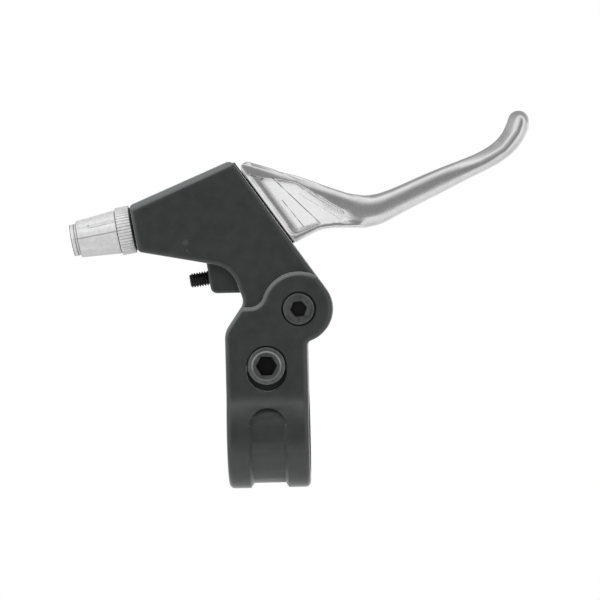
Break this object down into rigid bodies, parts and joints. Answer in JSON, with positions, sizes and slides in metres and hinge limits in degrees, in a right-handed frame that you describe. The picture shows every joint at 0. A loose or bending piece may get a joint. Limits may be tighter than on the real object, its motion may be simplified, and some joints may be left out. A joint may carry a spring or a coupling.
{
  "type": "bicycle brake lever",
  "caption": "Bicycle brake lever: charcoal resin bracket with a handlebar clamp, hooked silver alloy blade on a sprung pivot, knurled cable adjuster and reach screw.",
  "frame": {"origin": "on the handlebar's axis, midway along the clamp", "axes": "+X along the handlebar towards the blade's tip, +Y away from the side with the bolt heads, +Z from the handlebar towards the lever"},
  "size_m": [0.1253, 0.029, 0.1006],
  "materials": {
    "charcoal_resin": "fine moulded grain, matte",
    "cast_alloy": "tumbled and polished casting",
    "turned_alloy": "satin turned",
    "black_steel": "black oxide",
    "plated_steel": "zinc plated"
  },
  "bodies": {
    "bracket_body": {"bracket": "charcoal_resin", "clamp_bolt": "black_steel", "clamp_nut": "plated_steel", "pivot_bolt": "black_steel", "pivot_nut": "plated_steel", "pivot_bush": "plated_steel", "return_spring": "plated_steel"},
    "lever_body": {"lever": "cast_alloy"},
    "adjuster_body": {"barrel_adjuster": "turned_alloy"},
    "lock_ring_body": {"lock_ring": "turned_alloy"},
    "reach_screw_body": {"reach_screw": "black_steel"}
  },
  "joints": [
    {"name": "lever_pivot", "type": "hinge", "parent": "bracket_body", "child": "lever_body", "pos_m": [0.00893, 0, 0.03363], "axis": [0, 1, 0], "range_deg": [0, 40], "stiffness_Nm_per_rad": 0.06, "springref_deg": -34.38, "deforming": ["return_spring"]},
    {"name": "adjuster_travel", "type": "slide", "parent": "bracket_body", "child": "adjuster_body", "axis": [-0.9863, 0, -0.165], "range_m": [0, 0.005]},
    {"name": "lock_ring_turn", "type": "hinge", "parent": "adjuster_body", "child": "lock_ring_body", "pos_m": [-0.03487, 0, 0.05643], "axis": [-0.9863, 0, -0.165], "continuous": true},
    {"name": "reach_screw_travel", "type": "slide", "parent": "bracket_body", "child": "reach_screw_body", "axis": [-0.9903, 0, -0.1392], "range_m": [0, 0.003]}
  ]
}
